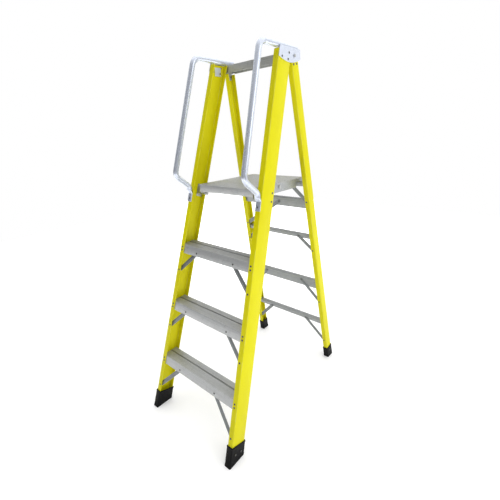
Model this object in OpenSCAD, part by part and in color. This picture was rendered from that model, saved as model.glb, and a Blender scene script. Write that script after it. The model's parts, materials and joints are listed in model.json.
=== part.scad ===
// Folding platform step ladder: three steps and a standing platform between two tilted
// channel rails, hinged rear legs with cross rungs, and a tube handrail on each side.
// X is across the steps, +Y runs from the climbing side to the rear legs, Z is up.

/* [Stance] */
// Rise from the floor to each step and to the platform
step_rise = 300; // [290:1:310]
// Lean of the front rails from vertical, in degrees
front_lean = 17.75; // [17.5:0.05:18]
// Lean of the rear legs from vertical, in degrees
rear_lean = 10.2; // [10:0.05:10.4]
// Flare of the front rails towards the floor, in degrees each side
front_flare = 2.84; // [2.7:0.01:2.9]
// Flare of the rear legs towards the floor, in degrees each side
rear_flare = 2.7; // [2.6:0.01:2.8]
// Width over the front rails at the floor
front_width = 594; // [590:1:600]
// Width over the rear legs at the floor
rear_width = 572; // [568:1:574]
// Floor distance from the front face of the rails to the front face of the rear legs
base_depth = 961; // [958:1:964]
// Height of the top ends of the front rails
rail_top = 1751; // [1745:1:1752]

/* [Channels] */
// Web depth of the front rails
front_web = 86; // [84:1:87]
// Flange width of the front rails
front_flange = 28; // [26:1:30]
// Web depth of the rear legs
rear_web = 50; // [49:1:52]
// Flange width of the rear legs
rear_flange = 26; // [24:1:28]
// Wall of both channels
wall = 4; // [3.5:0.1:4.2]

/* [Steps and rungs] */
// Depth of the front apron of a step
step_apron = 45; // [40:1:50]
// Depth of the rear apron of a step
step_back = 28; // [22:1:32]
// Sheet of the steps, rungs and platform
sheet = 2.5; // [2:0.1:3]
// Height of the grip ribs on steps and platform
rib_h = 1.2; // [0.8:0.1:1.5]
// Width of a knee brace
brace_w = 22; // [18:1:24]
// Thickness of a knee brace
brace_t = 3; // [2.5:0.1:3]

/* [Platform] */
// Half the width of the platform over its skirts
deck_half = 175; // [170:1:177]
// Front to rear length of the platform
deck_len = 424; // [420:1:428]
// Depth of the apron at the front of the platform
deck_apron = 36; // [32:1:38]
// Depth of the side skirts
skirt_h = 45; // [42:1:46]
// Radius of the platform's hinge bolts
hinge_r = 4; // [3:0.5:4]

/* [Handrails] */
// Outer radius of the handrail tube
tube_r = 12.7; // [11:0.1:12.7]
// Distance of the tube's axis in front of the rail's front face
rail_offset = 113; // [105:1:120]
// Height of the axis of the handrail's top run
handrail_z = 1768; // [1768:1:1772]

/* [Feet] */
// Thickness of the rubber around a rail end
boot_t = 5; // [4:0.5:6]
// Height of the front boots along the rail
front_boot_h = 100; // [90:1:110]
// Height of the rear boots along the leg
rear_boot_h = 75; // [65:1:85]
// Rubber between a rail end and the floor
sole = 8; // [6:1:10]

/* [Hidden] */

$fn = 48;
gap = 0.05;            // between pieces of one body that lie on each other
eps = 0.01;
yellow = [0.86, 0.83, 0.02];
silver = [0.78, 0.79, 0.80];
grey = [0.62, 0.63, 0.63];
steel = [0.55, 0.56, 0.58];
black = [0.07, 0.07, 0.07];

// Floor position of the middle of the footprint
mid_y = (base_depth + (rear_web + boot_t) / cos(rear_lean) - boot_t / cos(front_lean)) / 2;

// Front faces and outer webs of the rails and the legs at a height
function rail_y(z) = z * tan(front_lean);
function rail_x(z) = front_width / 2 - z * tan(front_flare) / cos(front_lean);
function leg_y(z) = base_depth - z * tan(rear_lean);
function leg_x(z) = rear_width / 2 - z * tan(rear_flare) / cos(rear_lean);
function rail_u(z) = z / (cos(front_lean) * cos(front_flare));
function leg_u(z) = z / (cos(rear_lean) * cos(rear_flare));

platform_z = 4 * step_rise;

// Pivot of the rear legs in the top plates, and hinge of the platform
pivot_y = 668;
pivot_z = 1733;
pivot_r = 4;
hinge_y = 436;
hinge_z = platform_z - 38;

// Steps: foot of each brace below the tread, and its head's distance from the web
step_brace_drop = [170, 130, 132];
step_brace_run = [150, 118, 124];
step_head_drop = 29;

// Rear rungs from the floor up: height of the top face, apron, brace run and brace drop
rung_z = [282, 580, 878, 1088, 1178];
rung_apron = [20, 50, 20, 50, 20];
rung_run = [135, 125, 100, 0, 105];
rung_drop = [148, 140, 88, 0, 103];
rung_head_drop = 12;
rung_front = wall + brace_t + 0.1;
diagonal_top = [36, -26];
diagonal_rise = 17;

// ---------------------------------------------------------------- frames of reference

module placed() translate([0, -mid_y, 0]) children();
module left() mirror([1, 0, 0]) children();

// x out of the web from its outer face, y into the rail from its front face, z up the rail
module on_rail() translate([front_width / 2, 0, 0])
    rotate([-front_lean, 0, 0]) rotate([0, -front_flare, 0]) children();
module on_leg() translate([rear_width / 2, base_depth, 0])
    rotate([rear_lean, 0, 0]) rotate([0, -rear_flare, 0]) children();

// The plane of all front faces: x across, y into the frame, z up the slope
module on_front() rotate([-front_lean, 0, 0]) children();
module on_rear() translate([0, base_depth, 0]) rotate([rear_lean, 0, 0]) children();

// Upright plane along the rail's web, for outlines drawn in y and z
module on_web() on_rail() rotate([front_lean, 0, 0]) children();

// Extrudes an outline drawn in y and z across the ladder, from x0 to x1
module across(x0, x1) translate([x0, 0, 0]) rotate([90, 0, 90]) linear_extrude(x1 - x0) children();

// ---------------------------------------------------------------- shared shapes

// Channel opening towards -x, flanges along x, web at x = 0
module channel_outline(depth, flange) {
    difference() {
        translate([-flange, 0]) square([flange, depth]);
        translate([-flange - 1, wall]) square([flange - wall + 1, depth - 2 * wall]);
    }
}

module below(z) translate([-1000, -1000, z - 1000]) cube([2000, 3000, 1000]);
module above(z) translate([-1000, -1000, z]) cube([2000, 3000, 1000]);

// Rivet along +z from its head's seat: shank through the grip and a flat tail behind it
module rivet(grip, r = 2.4) {
    translate([0, 0, -0.9]) cylinder(h = 0.9, r = 1.9 * r);
    translate([0, 0, -1.8]) cylinder(h = 0.9, r1 = 1.1 * r, r2 = 1.9 * r);
    translate([0, 0, -eps]) cylinder(h = grip + 2 * eps, r = r);
    translate([0, 0, grip]) cylinder(h = 1.2, r = 1.6 * r);
}
module rivet_hole(grip, r = 2.4) translate([0, 0, -5]) cylinder(h = grip + 10, r = r + gap);

// Folded tread: ribbed top, front apron and rear apron that follow the lean of the channel
function ribs(y0, z, n, pitch) = [
    for (i = [0 : n - 1]) each [
        [y0 + i * pitch, z - rib_h], [y0 + i * pitch, z],
        [y0 + (i + 0.45) * pitch, z], [y0 + (i + 0.45) * pitch, z - rib_h]
    ]
];
module tread_outline(y0, y1, z, front, back, slope, n, rib = rib_h) {
    pitch = (y1 - y0) / (n + 0.2);
    top = z - rib_h;
    polygon(concat(
        n > 0 ? ribs(y0 + pitch * 0.35, z, n, pitch) : [],
        [
            [y1 - rib_h * slope, top], [y1 - back * slope, z - back],
            [y1 - back * slope - sheet, z - back],
            [y1 - sheet - (sheet + rib_h) * slope, top - sheet],
            [y0 + sheet - (sheet + rib_h) * slope, top - sheet],
            [y0 - front * slope + sheet, z - front],
            [y0 - front * slope, z - front], [y0 - rib_h * slope, top]
        ]));
}

// Flat strip from a foot to a head in an x-z plane, rounded ends; its back lies at y = 0 at
// the foot and at y = step at the head, and its face looks towards -y
module strap(foot, head, step = 0) {
    run = head - foot;
    len = norm(run);
    translate([foot[0], 0, foot[1]]) rotate([0, -atan2(run[1], run[0]), 0])
        intersection() {
            rotate([90, 0, 0]) translate([0, 0, -20]) linear_extrude(40) {
                translate([0, -brace_w / 2]) square([len, brace_w]);
                circle(d = brace_w);
                translate([len, 0]) circle(d = brace_w);
            }
            translate([0, 0, -brace_w]) linear_extrude(2 * brace_w) polygon([
                [-brace_w, -brace_t], [brace_w * 1.7, -brace_t], [brace_w * 2.8, step - brace_t],
                [len + brace_w, step - brace_t], [len + brace_w, step], [brace_w * 2.8, step],
                [brace_w * 1.7, 0], [-brace_w, 0]
            ]);
        }
}

// ---------------------------------------------------------------- fastener sites

module step_rivet_sites(i) on_rail()
    for (drop = [13, 29])
        translate([-front_flange / 2 - 2, 0, rail_u(step_rise * i - drop)])
            rotate([-90, 0, 0]) children();

function brace_foot(i) = let(z = step_rise * i - step_brace_drop[i - 1])
    [rail_x(z) - front_flange / 2 - 2, z / cos(front_lean)];
function brace_head(i) = let(z = step_rise * i)
    [rail_x(z) - step_brace_run[i - 1], (z - step_head_drop) / cos(front_lean)];
module brace_site(p, y) translate([p[0], y, p[1]]) rotate([-90, 0, 0]) children();

function rung_foot(i) = let(z = rung_z[i - 1] - rung_drop[i - 1])
    [leg_x(z) - rear_flange / 2 - 3.5, z / cos(rear_lean)];
function rung_head(i) = let(z = rung_z[i - 1])
    [leg_x(z) - rung_run[i - 1], (z - rung_head_drop) / cos(rear_lean)];

// Through the rear flange of a leg and the rear apron of a rung
module rung_rivet_site(i) on_leg()
    translate([-rear_flange / 2 - 1, rear_web, leg_u(rung_z[i - 1] - 12) - rear_web * tan(rear_lean)])
        rotate([90, 0, 0]) children();

top_rivets = [[574, 1723], [628, 1742], [618, 1716]];
module top_rivet_site(p) on_web() translate([sheet + gap, p[0], p[1]]) rotate([0, -90, 0]) children();
module top_rivet_sites() for (p = top_rivets) top_rivet_site(p) children();

module bracket_rivet_sites() on_rail() for (drop = [2, 38])
    translate([0, front_web - 14, rail_u(platform_z - drop)]) rotate([0, -90, 0]) children();

module handrail_rivet_sites() on_rail() for (drop = [42, 70])
    translate([-front_flange / 2, -5, rail_u(platform_z - drop)])
        rotate([-90, 0, 0]) children();

module front_boot_rivet_sites() on_rail() for (y = [24, 62])
    translate([boot_t, y, 58]) rotate([0, -90, 0]) children();
module rear_boot_rivet_sites() on_leg()
    translate([boot_t, rear_web / 2, 44]) rotate([0, -90, 0]) children();

leg_top = pivot_z - 17;
hinge_top = leg_u(leg_top);
module hinge_rivet_sites() on_leg() for (y = [12, 36])
    translate([0, y, hinge_top - 18]) rotate([0, -90, 0]) children();

module deck_rivet_sites() for (y = [0.12, 0.38, 0.62, 0.86])
    translate([deck_half - 13, deck_front + y * deck_len, platform_z - rib_h])
        rotate([180, 0, 0]) children();

// ---------------------------------------------------------------- front frame

module front_rail() {
    difference() {
        on_rail() linear_extrude(rail_u(rail_top) + 60) channel_outline(front_web, front_flange);
        below(sole);
        above(rail_top);
        for (i = [1 : 3]) step_rivet_sites(i) rivet_hole(wall);
        for (i = [1 : 3]) on_front() brace_site(brace_foot(i), 0) rivet_hole(wall);
        top_rivet_sites() rivet_hole(wall);
        bracket_rivet_sites() rivet_hole(wall);
        handrail_rivet_sites() rivet_hole(wall);
        front_boot_rivet_sites() rivet_hole(wall);
    }
}
module front_rail_left() color(yellow) placed() left() front_rail();
module front_rail_right() color(yellow) placed() front_rail();

module step(i) {
    z = step_rise * i;
    y0 = rail_y(z) + (wall + gap) / cos(front_lean);
    y1 = rail_y(z) + (front_web - wall - gap) / cos(front_lean);
    half = rail_x(z) - wall - 2;
    color(grey) placed() difference() {
        across(-half, half) difference() {
            tread_outline(y0, y1, z, step_apron, step_back, tan(front_lean), 11);
            translate([y0 + 0.56 * (y1 - y0), z - 2.2]) square([5, 5]);
        }
        for (s = [0, 1]) mirror([s, 0, 0]) {
            step_rivet_sites(i) rivet_hole(wall + sheet);
            on_front() brace_site(brace_head(i), wall) rivet_hole(sheet);
        }
    }
}
module step_1() step(1);
module step_2() step(2);
module step_3() step(3);

// Knee braces lie behind the rails' front flanges and behind the steps' front aprons
strap_y = wall + brace_t + gap;
module step_brace(i) difference() {
    on_front() translate([0, strap_y, 0])
        strap(brace_foot(i), brace_head(i), sheet * cos(front_lean) + gap);
    on_front() brace_site(brace_foot(i), wall) rivet_hole(brace_t);
    on_front() brace_site(brace_head(i), wall) rivet_hole(sheet + brace_t);
}
module step_brace_1_left() color(silver) placed() left() step_brace(1);
module step_brace_1_right() color(silver) placed() step_brace(1);
module step_brace_2_left() color(silver) placed() left() step_brace(2);
module step_brace_2_right() color(silver) placed() step_brace(2);
module step_brace_3_left() color(silver) placed() left() step_brace(3);
module step_brace_3_right() color(silver) placed() step_brace(3);

module both() { children(); left() children(); }

module step_rivets() color(steel) placed() both()
    for (i = [1 : 3]) step_rivet_sites(i) rivet(wall + gap + sheet * cos(front_lean));

module step_brace_rivets() color(steel) placed() both() for (i = [1 : 3]) on_front() {
    brace_site(brace_foot(i), 0) rivet(wall + gap + brace_t);
    brace_site(brace_head(i), wall + gap) rivet(sheet * cos(front_lean) + gap + brace_t);
}

// Gusset on the outer web that joins the rail's top to the pivot of the rear leg
plate_top = handrail_z - 4;
plate_rear = pivot_y + 50;
plate_arc = 200;
module top_plate() difference() {
    on_web() across(gap, sheet + gap) intersection() {
        polygon([
            [rail_y(plate_top), plate_top], [rail_y(1690), 1690],
            [plate_rear, 1690], [plate_rear, plate_top]
        ]);
        translate([(rail_y(1730) + plate_rear) / 2 - 4, 1706 + plate_arc])
            circle(plate_arc, $fn = 96);
    }
    top_rivet_sites() rivet_hole(sheet);
    translate([100, pivot_y, pivot_z]) rotate([0, 90, 0]) cylinder(h = 200, r = pivot_r + 0.06);
}
module top_plate_left() color(silver) placed() left() top_plate();
module top_plate_right() color(silver) placed() top_plate();

module top_plate_rivets() color(steel) placed() both() for (p = top_rivets)
    top_rivet_site(p) rivet(sheet + gap + wall + (p == top_rivets[2] ? gap + backing_t : 0));

// Square backing plate under the lowest plate rivet's tail, on the inner face of the web
backing_t = 2;
backing_w = 38;
module backing_plates() color(silver) placed() both() difference() {
    on_web() translate([-wall - gap - backing_t, top_rivets[2][0] - 34, top_rivets[2][1] - 12])
        cube([backing_t, backing_w + 2, backing_w]);
    top_rivet_site(top_rivets[2]) rivet_hole(12);
}

// Bent tube in the y-z plane: straight runs and an arc of radius bends[i] at each corner
function unit(v) = v / norm(v);
function heading(v) = atan2(v[1], v[0]);
function turn(a, b) = (heading(b) - heading(a) + 540) % 360 - 180;
function trim(path, bends, i) = (i == 0 || i == len(path) - 1) ? 0
    : bends[i] * tan(abs(turn(path[i] - path[i - 1], path[i + 1] - path[i])) / 2);
module tube(path, bends, r) rotate([90, 0, 90]) {
    for (i = [0 : len(path) - 2]) {
        d = unit(path[i + 1] - path[i]);
        a = path[i] + d * trim(path, bends, i);
        run = norm(path[i + 1] - path[i]) - trim(path, bends, i) - trim(path, bends, i + 1);
        translate([a[0], a[1], 0]) rotate([0, 0, heading(d)]) rotate([0, 90, 0])
            translate([0, 0, -1]) cylinder(h = run + 2, r = r);
    }
    for (i = [1 : len(path) - 2]) {
        d = unit(path[i] - path[i - 1]);
        bend = turn(d, path[i + 1] - path[i]);
        side = sign(bend);
        start = path[i] - d * trim(path, bends, i);
        centre = start + side * bends[i] * [-d[1], d[0]];
        translate([centre[0], centre[1], 0]) rotate([0, 0, heading(d) - side * 90])
            rotate_extrude(angle = bend) translate([bends[i], 0]) circle(r + 0.04);
    }
}

// From the rear of the top plate forward, down in front of the rail and back to its flange
function ahead(z, d) = [rail_y(z) - d / cos(front_lean), z];
seat = tube_r + 1;
handrail_path = [
    [plate_rear - 16, handrail_z], ahead(handrail_z, rail_offset), ahead(1255, rail_offset),
    ahead(1190, seat), ahead(1172, seat)
];
handrail_bends = [0, 45, 35, 26, 0];
handrail_x = -tube_r - 0.3;
module handrail() difference() {
    union() {
        on_web() translate([handrail_x, 0, 0]) tube(handrail_path, handrail_bends, tube_r);
        on_rail() translate([handrail_x - tube_r, -5, rail_u(1114)])
            cube([2 * tube_r, 5 - gap, rail_u(1168) - rail_u(1114)]);
        on_rail() translate([handrail_x - tube_r, -seat - tube_r, rail_u(1164)])
            cube([2 * tube_r, seat + tube_r - gap, 12]);
    }
    handrail_rivet_sites() rivet_hole(5);
}
module handrail_left() color(silver) placed() left() handrail();
module handrail_right() color(silver) placed() handrail();

module handrail_rivets() color(steel) placed() both() handrail_rivet_sites() rivet(5 + wall);

// Box bracket from the rail's inner web to the platform's skirt
ear_x = deck_half + 3;
ear_t = 3;
module platform_bracket() difference() {
    union() {
        on_rail() translate([-wall - ear_t - gap, front_web - 42, rail_u(platform_z - 53)])
            cube([ear_t, 36, 64]);
        translate([0, hinge_y, hinge_z]) on_front() {
            reach = rail_x(hinge_z) - wall - ear_x;
            translate([ear_x, -14, -22]) cube([ear_t, 28, 34]);
            translate([ear_x, -14, 9]) cube([reach - 3.6, 28, ear_t]);
            translate([ear_x, -14, -22]) cube([reach - 2.6, ear_t, 34]);
        }
    }
    bracket_rivet_sites() rivet_hole(wall + ear_t);
    translate([ear_x - 1, hinge_y, hinge_z]) rotate([0, 90, 0])
        cylinder(h = ear_t + 3, r = hinge_r + gap);
}
module platform_bracket_left() color(silver) placed() left() platform_bracket();
module platform_bracket_right() color(silver) placed() platform_bracket();

module platform_bracket_rivets() color(steel) placed() both() bracket_rivet_sites()
    rivet(wall + gap + ear_t);

// Shoulder bolt: head inside the bracket, shank through the skirt, nut inside the skirt
module platform_hinge_bolts() color(steel) placed() both() translate([0, hinge_y, hinge_z])
    rotate([0, 90, 0]) {
        translate([0, 0, ear_x + ear_t + gap]) cylinder(h = 5, r = 7);
        translate([0, 0, deck_half - 14]) cylinder(h = ear_x + ear_t + 14 - deck_half + gap, r = hinge_r);
        translate([0, 0, deck_half + 0.4]) cylinder(h = 2.5, r = 8);
        translate([0, 0, deck_half - sheet - 7.4]) cylinder(h = 7, r = 7, $fn = 6);
    }

module boot(depth, flange, height) {
    difference() {
        translate([-flange - boot_t, -boot_t, -40])
            cube([flange + 2 * boot_t, depth + 2 * boot_t, height + 40]);
        translate([-flange - gap, -gap, height * 0.45])
            cube([flange + 2 * gap, depth + 2 * gap, height]);
        translate([0, 0, -45]) linear_extrude(height + 50) {
            translate([-flange - gap, -gap]) square([flange + 2 * gap, wall + 2 * gap]);
            translate([-flange - gap, depth - wall - gap]) square([flange + 2 * gap, wall + 2 * gap]);
            translate([-wall - gap, 0]) square([wall + 2 * gap, depth]);
        }
    }
}
module front_boot() difference() {
    union() {
        on_rail() boot(front_web, front_flange, front_boot_h);
        intersection() {
            on_rail() translate([-front_flange - boot_t, -boot_t, -40])
                cube([front_flange + 2 * boot_t, front_web + 2 * boot_t, 100]);
            below(sole - gap);
        }
    }
    below(0);
    front_boot_rivet_sites() rivet_hole(boot_t);
}
module front_boot_left() color(black) placed() left() front_boot();
module front_boot_right() color(black) placed() front_boot();

module front_boot_rivets() color(steel) placed() both() front_boot_rivet_sites()
    rivet(boot_t + wall);

// ---------------------------------------------------------------- rear frame

module rear_leg() {
    difference() {
        on_leg() linear_extrude(hinge_top + 20) channel_outline(rear_web, rear_flange);
        below(sole);
        above(leg_top);
        for (i = [1 : 5]) rung_rivet_site(i) rivet_hole(wall);
        for (i = [1, 2, 3, 5]) on_rear() brace_site(rung_foot(i), 0) rivet_hole(wall);
        hinge_rivet_sites() rivet_hole(wall);
        rear_boot_rivet_sites() rivet_hole(wall);
    }
}
module rear_leg_left() color(yellow) placed() difference() {
    left() rear_leg();
    on_rear() brace_site(diagonal_base, 0) rivet_hole(wall);
}
module rear_leg_right() color(yellow) placed() rear_leg();

diagonal_head = [diagonal_top[0], (rung_z[3] + diagonal_top[1]) / cos(rear_lean)];
diagonal_z = rung_z[2] + diagonal_rise;
diagonal_base = [rear_flange / 2 + 3.5 - leg_x(diagonal_z), diagonal_z / cos(rear_lean)];

module rear_rung(i) {
    z = rung_z[i - 1];
    y0 = leg_y(z) + rung_front / cos(rear_lean);
    y1 = leg_y(z) + (rear_web - wall - gap) / cos(rear_lean);
    half = leg_x(z) - wall - 1.5;
    color(grey) placed() difference() {
        across(-half, half)
            tread_outline(y0, y1, z, rung_apron[i - 1], 20, -tan(rear_lean), 5);
        for (s = [0, 1]) mirror([s, 0, 0]) {
            rung_rivet_site(i) rivet_hole(wall + sheet);
            if (rung_run[i - 1] > 0)
                on_rear() brace_site(rung_head(i), rung_front) rivet_hole(sheet);
        }
        if (i == 4) on_rear() brace_site(diagonal_head, rung_front) rivet_hole(sheet);
        if (i == 4) on_rear() for (s = [0, 1]) mirror([s, 0, 0])
            brace_site(rung_foot(5), rung_front) rivet_hole(sheet);
    }
}
module rear_rung_1() rear_rung(1);
module rear_rung_2() rear_rung(2);
module rear_rung_3() rear_rung(3);
module rear_rung_4() rear_rung(4);
module rear_rung_5() rear_rung(5);

// Straps of the rear frame lie between the legs' front flanges and the rungs' aprons
module rear_strap(foot, head) difference() {
    on_rear() translate([0, strap_y, 0]) strap(foot, head);
    on_rear() brace_site(foot, wall) rivet_hole(brace_t);
    on_rear() brace_site(head, wall) rivet_hole(brace_t);
}
module rear_brace(i) rear_strap(rung_foot(i), rung_head(i));
module rear_brace_1_left() color(silver) placed() left() rear_brace(1);
module rear_brace_1_right() color(silver) placed() rear_brace(1);
module rear_brace_2_left() color(silver) placed() left() rear_brace(2);
module rear_brace_2_right() color(silver) placed() rear_brace(2);
module rear_brace_3_left() color(silver) placed() left() rear_brace(3);
module rear_brace_3_right() color(silver) placed() rear_brace(3);
module rear_brace_5_left() color(silver) placed() left() rear_brace(5);
module rear_brace_5_right() color(silver) placed() rear_brace(5);
module rear_diagonal() color(silver) placed() rear_strap(diagonal_base, diagonal_head);

module rear_rung_rivets() color(steel) placed() both()
    for (i = [1 : 5]) rung_rivet_site(i) rivet(wall + gap + sheet * cos(rear_lean));

module rear_brace_rivets() color(steel) placed() {
    both() for (i = [1, 2, 3, 5]) on_rear() {
        brace_site(rung_foot(i), 0)
            rivet(wall + gap + brace_t + (i == 5 ? gap + sheet * cos(rear_lean) : 0));
        brace_site(rung_head(i), wall + gap) rivet(brace_t + gap + sheet * cos(rear_lean));
    }
    on_rear() brace_site(diagonal_base, 0) rivet(wall + gap + brace_t);
    on_rear() brace_site(diagonal_head, wall + gap) rivet(brace_t + gap + sheet * cos(rear_lean));
}

// Inverted channel across the tops of the legs
bar_y = pivot_y - 16;
bar_depth = 50;
bar_top = pivot_z + 19;
bar_h = 34;
bar_half = deck_half + 2;
module bar_outline(depth, height) difference() {
    translate([0, -height]) square([depth, height]);
    translate([sheet, -height - 1]) square([depth - 2 * sheet, height - sheet + 1]);
}
module top_bar() color(grey) placed() across(-bar_half, bar_half)
    translate([bar_y, bar_top]) bar_outline(bar_depth, bar_h);

// Plate inside the leg's channel that carries the pivot, with a spur into the top bar whose
// outer end is cut low, clear of the handrail when the legs fold
spur_in = sheet + gap;
pivot_on_leg = [
    (pivot_y - base_depth) * cos(rear_lean) + pivot_z * sin(rear_lean),
    ((base_depth - pivot_y) * sin(rear_lean) + pivot_z * cos(rear_lean)) / cos(rear_flare)
];
module rear_hinge() {
    difference() {
        union() {
            on_leg() translate([-wall - gap - 3, wall + 0.3, hinge_top - 32])
                cube([3, rear_web - 2 * wall - 1, 42]);
            on_leg() translate([-wall - gap - 3, pivot_on_leg[0], pivot_on_leg[1]])
                rotate([0, 90, 0]) cylinder(h = 3, r = 12);
            across(140, leg_x(pivot_z) - wall - 1.4) translate([bar_y + spur_in, bar_top - spur_in])
                bar_outline(bar_depth - 2 * spur_in, bar_h - spur_in - 3);
            across(leg_x(pivot_z) - wall - 4.2, leg_x(pivot_z) - wall - 1.2)
                translate([bar_y + spur_in, bar_top - bar_h + 3])
                    square([bar_depth - 2 * spur_in, bar_h - spur_in - 3]);
        }
        translate([bar_half + 1, bar_y, pivot_z + 12.5]) cube([40, bar_depth, bar_h]);
        hinge_rivet_sites() rivet_hole(wall + 3);
        translate([100, pivot_y, pivot_z]) rotate([0, 90, 0]) cylinder(h = 200, r = pivot_r + gap);
    }
}
module rear_hinge_left() color(silver) placed() left() rear_hinge();
module rear_hinge_right() color(silver) placed() rear_hinge();

module rear_hinge_rivets() color(steel) placed() both() hinge_rivet_sites()
    rivet(wall + gap + 3);

plate_x = 205.2;
hinge_x = leg_x(pivot_z) - wall - 1.2;
module pivot_bolts() color(steel) placed() both() translate([0, pivot_y, pivot_z])
    rotate([0, 90, 0]) {
        translate([0, 0, plate_x + sheet + 1]) cylinder(h = 3.5, r = 6);
        translate([0, 0, hinge_x - 12]) cylinder(h = plate_x + sheet + 13.1 - hinge_x, r = pivot_r);
        translate([0, 0, hinge_x - 3 - gap - 7]) cylinder(h = 7, r = 7.5, $fn = 6);
    }
module pivot_spacers() color(steel) placed() both() translate([0, pivot_y, pivot_z])
    rotate([0, 90, 0]) difference() {
        translate([0, 0, hinge_x + 1.75]) cylinder(h = plate_x - 2.65 - hinge_x, r = 9);
        cylinder(h = 400, r = pivot_r + gap);
    }

module rear_boot() difference() {
    union() {
        on_leg() boot(rear_web, rear_flange, rear_boot_h);
        intersection() {
            on_leg() translate([-rear_flange - boot_t, -boot_t, -40])
                cube([rear_flange + 2 * boot_t, rear_web + 2 * boot_t, 100]);
            below(sole - gap);
        }
    }
    below(0);
    rear_boot_rivet_sites() rivet_hole(boot_t);
}
module rear_boot_left() color(black) placed() left() rear_boot();
module rear_boot_right() color(black) placed() rear_boot();

module rear_boot_rivets() color(steel) placed() both() rear_boot_rivet_sites()
    rivet(boot_t + wall);

// ---------------------------------------------------------------- platform

deck_front = rail_y(platform_z) + 5;
deck_rear = deck_front + deck_len;
deck_under = platform_z - rib_h - sheet;
deck_rivet_r = 1.8;
module platform_deck() color(grey) placed() difference() {
    across(-deck_half, deck_half)
        tread_outline(deck_front, deck_rear, platform_z, deck_apron, 26, 0, 44);
    both() deck_rivet_sites() {
        rivet_hole(2 * sheet, deck_rivet_r);
        translate([0, 0, -5]) cylinder(h = 5, r = 1.9 * deck_rivet_r + 0.2);
    }
}

// Angle under the deck's edge: hinge hole at the front, hook over the top rung at the rear
rod_y = 590;
rod_z = platform_z - 20;
rod_r = 5;
hook_z = rung_z[4] + 0.3;
hook_y0 = leg_y(rung_z[4]) + rung_front - 3;
hook_y1 = leg_y(rung_z[4]) + rear_web + 5;
module skirt_outline() difference() {
    union() {
        translate([deck_front + sheet + gap, platform_z - skirt_h])
            square([deck_len - 2 * (sheet + gap), skirt_h - (platform_z - deck_under) - gap]);
        translate([hinge_y, hinge_z]) circle(13);
    }
    polygon([
        [hook_y0, hook_z], [hook_y1, hook_z], [hook_y1, platform_z - skirt_h - 1],
        [hook_y0 - 22, platform_z - skirt_h - 1]
    ]);
    translate([hinge_y, hinge_z]) circle(hinge_r + 0.06);
    translate([rod_y, rod_z]) circle(rod_r + gap);
}
module platform_skirt() difference() {
    union() {
        across(deck_half - sheet, deck_half) skirt_outline();
        translate([deck_half - 24, deck_front + sheet + gap, deck_under - sheet - gap])
            cube([24, deck_len - 2 * (sheet + gap), sheet]);
    }
    deck_rivet_sites() rivet_hole(2 * sheet, deck_rivet_r);
}
module platform_skirt_left() color(silver) placed() left() platform_skirt();
module platform_skirt_right() color(silver) placed() platform_skirt();

module platform_tie_rod() color(steel) placed() translate([0, rod_y, rod_z]) rotate([0, 90, 0]) {
    translate([0, 0, -deck_half - 1]) cylinder(h = 2 * deck_half + 2, r = rod_r);
    for (s = [-1, 1]) translate([0, 0, s * (deck_half + gap + 2.5) - 2.5]) cylinder(h = 5, r = 9);
}

module platform_rivets() color(steel) placed() both() deck_rivet_sites()
    rivet(2 * sheet + gap, deck_rivet_r);

// ---------------------------------------------------------------- nodes

front_rail_left();
front_rail_right();
step_1();
step_2();
step_3();
step_brace_1_left();
step_brace_1_right();
step_brace_2_left();
step_brace_2_right();
step_brace_3_left();
step_brace_3_right();
step_rivets();
step_brace_rivets();
top_plate_left();
top_plate_right();
top_plate_rivets();
backing_plates();
handrail_left();
handrail_right();
handrail_rivets();
platform_bracket_left();
platform_bracket_right();
platform_bracket_rivets();
platform_hinge_bolts();
front_boot_left();
front_boot_right();
front_boot_rivets();
rear_leg_left();
rear_leg_right();
rear_rung_1();
rear_rung_2();
rear_rung_3();
rear_rung_4();
rear_rung_5();
rear_brace_1_left();
rear_brace_1_right();
rear_brace_2_left();
rear_brace_2_right();
rear_brace_3_left();
rear_brace_3_right();
rear_brace_5_left();
rear_brace_5_right();
rear_diagonal();
rear_rung_rivets();
rear_brace_rivets();
rear_hinge_left();
rear_hinge_right();
rear_hinge_rivets();
top_bar();
pivot_bolts();
pivot_spacers();
rear_boot_left();
rear_boot_right();
rear_boot_rivets();
platform_deck();
platform_skirt_left();
platform_skirt_right();
platform_tie_rod();
platform_rivets();
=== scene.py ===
import json
import math

import bmesh
import bpy
import numpy as np
from mathutils import Matrix, Vector

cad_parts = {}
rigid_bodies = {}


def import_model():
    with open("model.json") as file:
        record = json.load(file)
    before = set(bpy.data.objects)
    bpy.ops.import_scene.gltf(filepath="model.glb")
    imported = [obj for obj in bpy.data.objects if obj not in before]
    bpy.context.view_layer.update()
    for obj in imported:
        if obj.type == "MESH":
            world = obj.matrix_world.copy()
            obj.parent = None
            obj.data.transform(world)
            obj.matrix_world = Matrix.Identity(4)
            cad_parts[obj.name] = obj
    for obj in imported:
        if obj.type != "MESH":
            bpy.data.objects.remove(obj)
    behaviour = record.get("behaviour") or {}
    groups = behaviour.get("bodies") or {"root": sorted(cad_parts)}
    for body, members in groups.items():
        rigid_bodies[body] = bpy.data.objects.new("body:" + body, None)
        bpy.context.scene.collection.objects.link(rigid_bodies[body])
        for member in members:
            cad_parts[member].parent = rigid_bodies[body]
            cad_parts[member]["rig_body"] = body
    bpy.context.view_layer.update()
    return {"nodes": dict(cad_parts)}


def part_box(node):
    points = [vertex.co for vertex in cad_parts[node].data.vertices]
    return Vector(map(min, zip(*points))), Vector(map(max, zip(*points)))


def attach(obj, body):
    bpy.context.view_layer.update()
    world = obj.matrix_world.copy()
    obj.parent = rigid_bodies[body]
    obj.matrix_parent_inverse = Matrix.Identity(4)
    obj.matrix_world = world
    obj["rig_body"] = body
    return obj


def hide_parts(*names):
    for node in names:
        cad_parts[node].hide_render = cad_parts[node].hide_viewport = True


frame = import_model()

MM = 0.001
SAME = 1e-6  # points closer than this are one

# ---------------------------------------------------------------- reading the frame


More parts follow.
